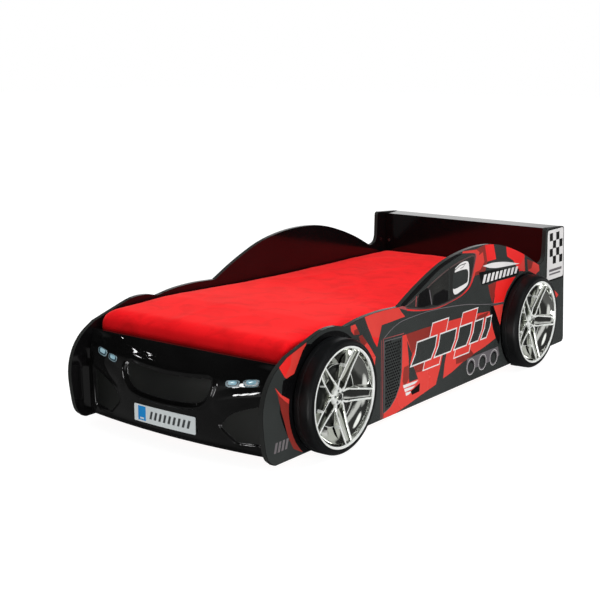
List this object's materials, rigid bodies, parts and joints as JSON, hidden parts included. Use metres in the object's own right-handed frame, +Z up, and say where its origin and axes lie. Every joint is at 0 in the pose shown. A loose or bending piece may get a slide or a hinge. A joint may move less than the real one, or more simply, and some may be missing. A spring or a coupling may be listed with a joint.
{
  "type": "race car bed",
  "caption": "Low single bed shaped like a race car: profiled printed side boards, wheel covers, moulded front bumper, rear spoiler shelf, slatted base and velour mattress.",
  "frame": {"origin": "middle of the bed's footprint, at floor level, where the feet and tyres stand", "axes": "+Z up from the floor; Y along the bed with the bumper towards -Y and the spoiler towards +Y; +X is the car's left side"},
  "size_m": [1.095, 2.3002, 0.6034],
  "materials": {
    "side_board": "gloss",
    "graphic_film": "gloss",
    "cross_board": "gloss",
    "rail_wood": "matte",
    "slat_wood": "matte",
    "webbing": "matte",
    "foot_plastic": "satin",
    "tyre_plastic": "satin",
    "rim_chrome": "polished",
    "fixing_steel": "satin",
    "dowel_wood": "matte",
    "bumper_gloss": "gloss",
    "plate_white": "satin",
    "lens_blue": "gloss",
    "foam": "matte",
    "velour": "matte"
  },
  "bodies": {
    "frame": {"left_side_panel": "side_board", "right_side_panel": "side_board", "left_graphic_film": "graphic_film", "right_graphic_film": "graphic_film", "headboard_panel": "cross_board", "footboard_panel": "cross_board", "spoiler_shelf": "cross_board", "tail_rail": "cross_board", "left_bed_rail": "rail_wood", "right_bed_rail": "rail_wood", "slat_01": "slat_wood", "slat_02": "slat_wood", "slat_03": "slat_wood", "slat_04": "slat_wood", "slat_05": "slat_wood", "slat_06": "slat_wood", "slat_07": "slat_wood", "slat_08": "slat_wood", "slat_09": "slat_wood", "slat_10": "slat_wood", "slat_11": "slat_wood", "slat_12": "slat_wood", "slat_13": "slat_wood", "slat_14": "slat_wood", "slat_straps": "webbing", "foot_front_left": "foot_plastic", "foot_front_right": "foot_plastic", "foot_rear_left": "foot_plastic", "foot_rear_right": "foot_plastic", "tyre_front_left": "tyre_plastic", "tyre_front_right": "tyre_plastic", "tyre_rear_left": "tyre_plastic", "tyre_rear_right": "tyre_plastic", "rim_front_left": "rim_chrome", "rim_front_right": "rim_chrome", "rim_rear_left": "rim_chrome", "rim_rear_right": "rim_chrome", "hub_cap_front_left": "rim_chrome", "hub_cap_front_right": "rim_chrome", "hub_cap_rear_left": "rim_chrome", "hub_cap_rear_right": "rim_chrome", "lug_bolts_front_left": "fixing_steel", "lug_bolts_front_right": "fixing_steel", "lug_bolts_rear_left": "fixing_steel", "lug_bolts_rear_right": "fixing_steel", "wheel_screws": "fixing_steel", "front_bumper": "bumper_gloss", "bumper_blocks": "rail_wood", "bumper_screws": "fixing_steel", "licence_plate": "plate_white", "headlight_left": "lens_blue", "headlight_right": "lens_blue", "cam_barrels": "fixing_steel", "cam_bolts": "fixing_steel", "dowels": "dowel_wood", "rail_screws": "fixing_steel", "foot_screws": "fixing_steel"},
    "mattress": {"mattress_core": "foam", "mattress_cover": "velour"}
  },
  "joints": [
    {"name": "mattress_lift", "type": "slide", "parent": "frame", "child": "mattress", "axis": [0, 0, 1], "range_m": [0, 0.4]}
  ]
}
